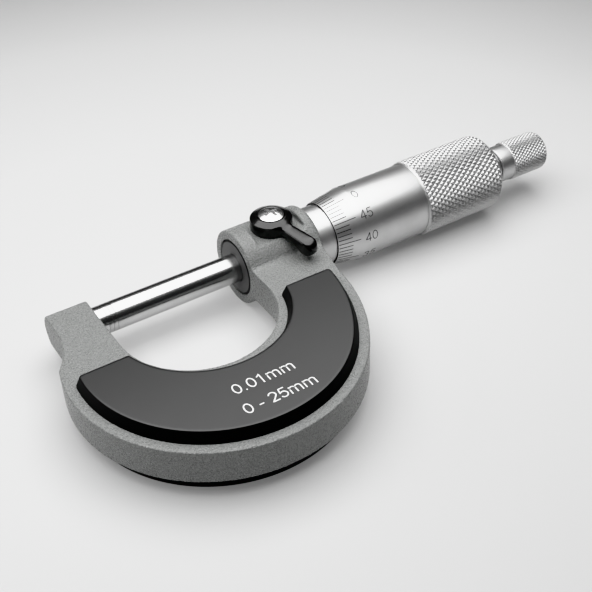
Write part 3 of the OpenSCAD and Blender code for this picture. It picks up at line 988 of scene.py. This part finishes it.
# ---------------------------------------------------------------- thimble
def thimble_body():
    """Cone, barrel and step of the thimble, with painted shade on its front edge and a hollow bore.
    """
    seat_x = THIMBLE_X1 - 4
    step_x = GRIP_X0 - STEP_L
    step_r = BARREL_R - 0.12
    profile = rounded([
        (THIMBLE_X0, BORE_R), (THIMBLE_X0, EDGE_R - 0.05), (THIMBLE_X0 + 0.12, EDGE_R),
        (THIMBLE_X0 + CONE_L, BARREL_R), (step_x, BARREL_R), (step_x + 0.08, step_r),
        (GRIP_X0 - 0.02, step_r), (GRIP_X0 + 0.3, BARREL_R - 0.5),
        (THIMBLE_X1 - 0.6, BARREL_R - 0.6), (THIMBLE_X1, GRIP_R - GRIP_CHAMFER - 0.15),
        (THIMBLE_X1, 1.7), (seat_x, 2.7), (seat_x, BORE_R)], TURNED_EDGE)
    # the front edge's annulus takes the painted shade
    marks = [(THIMBLE_X0 - 0.1, THIMBLE_X0 + 0.05, BORE_R - 0.1, EDGE_R + 0.1, 1)]
    mesh = lathe("thimble_body", profile, segments=224, marks=marks)
    finishes = [chrome, shade]
    add_piece("thimble_body", mesh, "thimble", finishes, ["thimble"], sharp=25)


def knurled_piece(name, body, span, radius, limit, inner_r, depth, around, axial):
    """A closed tube with a knurled outside, between the two x of its span."""
    x0, x1 = span
    middle, half_l = (x0 + x1) / 2, (x1 - x0) / 2
    bm, ends = knurl_wall(middle, half_l, radius, depth, around, axial, limit)
    close_tube(bm, ends, inner_r)
    add_piece(name, mesh_from(bm, name), body, [knurled], sharp=12)


def thimble_grip():
    """The thimble's grip, with a chamfer at both ends."""

    def limit(x):
        front = BARREL_R - 0.02 + (x - GRIP_X0) * (GRIP_R - BARREL_R) / GRIP_CHAMFER
        back = GRIP_R - GRIP_CHAMFER + (THIMBLE_X1 - x)
        return min(GRIP_R, front, back)

    span = (GRIP_X0, THIMBLE_X1)
    knurled_piece(
        "thimble_grip", "thimble", span, GRIP_R, limit, BARREL_R - 1.2, depth=0.30, around=46,
        axial=0.513)


def thimble_scale():
    """Fifty divisions on the cone and a number at each fifth, growing as the thimble opens."""
    slope = (BARREL_R - EDGE_R) / CONE_L

    def surface(x):
        return min(BARREL_R, EDGE_R + (x - THIMBLE_X0) * slope)

    meshes = []
    start = THIMBLE_X0 + 0.22
    for i in range(DIVISIONS):
        numbered = i % 5 == 0
        length = DIVISION_LONG if numbered else DIVISION_SHORT
        angle = DATUM_ANGLE - i * DIVISION
        meshes.append(scale_strip(start, THIMBLE_X0 + length, angle, LINE_W, surface))
        if numbered:
            x = THIMBLE_X0 + THIMBLE_NUMBER_X
            meshes.append(number_on(str(i), x, angle, THIMBLE_NUMBER_H, BARREL_R))
    mesh = join_meshes(meshes, "thimble_scale")
    add_piece("thimble_scale", mesh, "thimble", [scale_ink])


# ---------------------------------------------------------------- ratchet
def ratchet_flange():
    """Flange with its groove, shoulder, arbor and stud of the ratchet, with the edges broken."""
    x0, x1 = FLANGE_X0, FLANGE_X0 + FLANGE_T
    stud_r, shoulder_r, tapped_r = 1.6, 3.3, 1.0
    shoulder_x = x1 + 0.25
    tapped_x = BASE_HIGH.x - 4
    profile = rounded([
        (BASE_LOW.x, 0), (BASE_LOW.x, stud_r), (x0, stud_r), (x0, FLANGE_R - 0.25),
        (x0 + 0.25, FLANGE_R), (x0 + 1.1, FLANGE_R), (x0 + 1.2, FLANGE_R - 0.1),
        (x0 + 1.35, FLANGE_R - 0.1), (x0 + 1.45, FLANGE_R), (x1 - 0.2, FLANGE_R),
        (x1, FLANGE_R - 0.2), (x1, shoulder_r), (shoulder_x, shoulder_r), (shoulder_x, ARBOR_R),
        (BASE_HIGH.x, ARBOR_R), (BASE_HIGH.x, tapped_r), (tapped_x, tapped_r),
        (tapped_x, 0)], TURNED_EDGE)
    mesh = lathe("ratchet_flange", profile, segments=160)
    add_piece("ratchet_flange", mesh, "thimble", [chrome], ["ratchet_base"])


def ratchet_cap():
    """Smooth collar and hollow core of the knob, with the counterbore for its screw."""
    profile = rounded([
        (CAP_X0, CAP_BORE_R), (CAP_X0, COLLAR_R - 0.3), (CAP_X0 + 0.3, COLLAR_R),
        (COLLAR_X, COLLAR_R), (COLLAR_X + 0.25, COLLAR_R - 0.1), (CAP_X1 - 0.6, COLLAR_R - 0.3),
        (CAP_X1, KNOB_R - 1.05), (CAP_X1, SCREW_HOLE_R), (SCREW_SEAT_X, SCREW_HOLE_R),
        (SCREW_SEAT_X, SHANK_R), (SPRING_X1, SHANK_R), (SPRING_X1, CAP_BORE_R)], TURNED_EDGE)
    mesh = lathe("ratchet_cap", profile, segments=160)
    add_piece("ratchet_cap", mesh, "ratchet", [chrome], ["ratchet_knob"])


def ratchet_grip():
    """The knob's knurl, sloped at the collar and rounded over at the end."""
    round_l, round_drop, front_slope = 1.0, 0.95, 0.9

    def limit(x):
        front = COLLAR_R + 0.02 + (x - COLLAR_X) * front_slope
        t = max(0.0, (x - (CAP_X1 - round_l)) / round_l)
        back = KNOB_R - round_drop * (1 - math.sqrt(max(0.0, 1 - t * t)))
        return min(KNOB_R, front, back)

    span = (COLLAR_X, CAP_X1)
    knurled_piece(
        "ratchet_grip", "ratchet", span, KNOB_R, limit, COLLAR_R - 0.75, depth=0.2, around=35,
        axial=0.75)


# ---------------------------------------------------------------- lock
def lock_lever():
    """The locking lever, its hub crisp and its arm rounded off like a forging."""
    mesh = voxel_mesh([cad_mesh_mm("lock_lever")], LEVER_VOXEL, LEVER_PASSES, "lock_handle")
    along = math.radians(LEVER_ANGLE - 90)

    def share(p):
        reach = (p[0] - LOCK_X) * math.cos(along) + p[1] * math.sin(along)
        return min(max((reach - LEVER_ROOT) / ARM_FADE, 0.0), 1.0)

    smooth_part(mesh, share, ARM_PASSES)
    add_piece("lock_handle", mesh, "lock", [enamel], ["lock_lever"], sharp=180)


def finish_nodes(finish, *names):
    """Gives CAD nodes that stay visible their node-based material."""
    for name in names:
        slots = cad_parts[name].data.materials
        slots.clear()
        slots.append(finish)


frame_casting()
cover_plate("front_cover", "front_plate", 1, PLATE_HIGH.z, PLATE_BEVEL)
cover_plate("rear_cover", "rear_plate", -1, -REAR_LOW.z, REAR_BEVEL)
plate_print()
anvil_pieces()
spindle_pieces()
guide_sleeve()
sleeve_pieces()
thimble_body()
thimble_grip()
thimble_scale()
ratchet_flange()
ratchet_cap()
ratchet_grip()
lock_lever()
finish_nodes(yellow, "adjusting_nut", "lock_plug")
finish_nodes(dark, "ratchet_clutch", "lock_stud")
finish_nodes(spring, "ratchet_spring")
finish_nodes(steel, "thimble_washer")
finish_nodes(bright, "ratchet_screw", "lock_screw")


# ---------------------------------------------------------------- stage, light and camera
# Where the micrometer touches the floor: under the grip's chamfer and under the rear plate
REST_RIGHT = Vector((GRIP_X0 + GRIP_CHAMFER, 0, -GRIP_R))
REST_LEFT = Vector((REAR_LOW.x + REAR_BEVEL, 0, REAR_LOW.z))
FLOOR_HALF = 4.0

# Lights: place, target, size, power and second size, in metres and watts
OVERHEAD = ((0.035, 0.021, 0.21), (0.035, 0.021, 0), 0.40, 1.22, 0.308)
SIDE_FILL = ((-0.24, 0.13, 0.10), (0.0, 0.0, 0), 0.16, 0.16, 0.16)
SKY_UP = (0.0, 0.10, 0.995)
SKY_STOPS = ((0.0, 0.05), (0.50, 0.07), (0.80, 0.28))


def stage():
    """The floor, tilted a little so that it touches the rear plate and the thimble's grip."""
    slope = math.atan2(REST_LEFT.z - REST_RIGHT.z, REST_RIGHT.x - REST_LEFT.x)
    half = FLOOR_HALF
    corners = [(-half, -half, 0), (half, -half, 0), (half, half, 0), (-half, half, 0)]
    mesh = bpy.data.meshes.new("floor")
    mesh.from_pydata(corners, [], [(0, 1, 2, 3)])
    mesh.materials.append(floor_paper())
    floor = bpy.data.objects.new("floor", mesh)
    floor.rotation_euler = (0, slope, 0)
    floor.location = (REST_LEFT + REST_RIGHT) / 2 * MM
    bpy.context.scene.collection.objects.link(floor)


def area_light(name, place, target, size, power, size_y):
    """A soft box that the camera doesn't see."""
    data = bpy.data.lights.new(name, "AREA")
    data.shape = "RECTANGLE"
    data.size = size
    data.size_y = size_y
    data.energy = power
    lamp = bpy.data.objects.new(name, data)
    lamp.location = place
    lamp.rotation_euler = (Vector(target) - Vector(place)).to_track_quat("-Z", "Y").to_euler()
    lamp.visible_camera = False
    bpy.context.scene.collection.objects.link(lamp)


def studio():
    """A big soft box overhead, a fill, and a world that is bright above and dark at the horizon."""
    area_light("overhead", *OVERHEAD)
    area_light("side_fill", *SIDE_FILL)
    world = bpy.data.worlds.new("studio")
    bpy.context.scene.world = world
    world.use_nodes = True
    nodes = world.node_tree.nodes
    links = world.node_tree.links
    background = nodes["Background"]
    place = nodes.new("ShaderNodeTexCoord")
    axis = nodes.new("ShaderNodeVectorMath")
    axis.operation = "DOT_PRODUCT"
    axis.inputs[1].default_value = SKY_UP
    links.new(place.outputs["Generated"], axis.inputs[0])
    sky = nodes.new("ShaderNodeValToRGB")
    set_stops(sky.color_ramp.elements, SKY_STOPS)
    links.new(axis.outputs["Value"], sky.inputs["Fac"])
    links.new(sky.outputs["Color"], background.inputs["Color"])
    background.inputs["Strength"].default_value = 1.0


CAMERA_AZIMUTH = math.radians(-30.854)
CAMERA_ELEVATION = math.radians(38.385)
CAMERA_ROLL = math.radians(-2.322)
CAMERA_TARGET = Vector((36.02, -16.09, 0)) * MM
CAMERA_DISTANCE = 225.80 * MM
CAMERA_LENS = 65.06
CAMERA_SENSOR = 36
CAMERA_CLIP = (0.005, 20)


def camera():
    """The camera at the photograph's angle, from the azimuth, elevation, roll and target above."""
    azimuth, elevation, roll = CAMERA_AZIMUTH, CAMERA_ELEVATION, CAMERA_ROLL
    level = math.cos(elevation)
    back = Vector((math.sin(azimuth) * level, -math.cos(azimuth) * level, math.sin(elevation)))
    right = (-back).cross(Vector((0, 0, 1))).normalized()
    up = right.cross(-back)
    across = right * math.cos(roll) + up * math.sin(roll)
    upward = -right * math.sin(roll) + up * math.cos(roll)
    data = bpy.data.cameras.new("camera")
    data.sensor_width = CAMERA_SENSOR
    data.lens = CAMERA_LENS
    data.clip_start, data.clip_end = CAMERA_CLIP
    holder = bpy.data.objects.new("camera", data)
    turn = Matrix((across, upward, back)).transposed().to_4x4()
    holder.matrix_world = Matrix.Translation(CAMERA_TARGET + back * CAMERA_DISTANCE) @ turn
    bpy.context.scene.collection.objects.link(holder)
    bpy.context.scene.camera = holder


stage()
studio()
camera()
bpy.context.scene.view_settings.view_transform = "Khronos PBR Neutral"
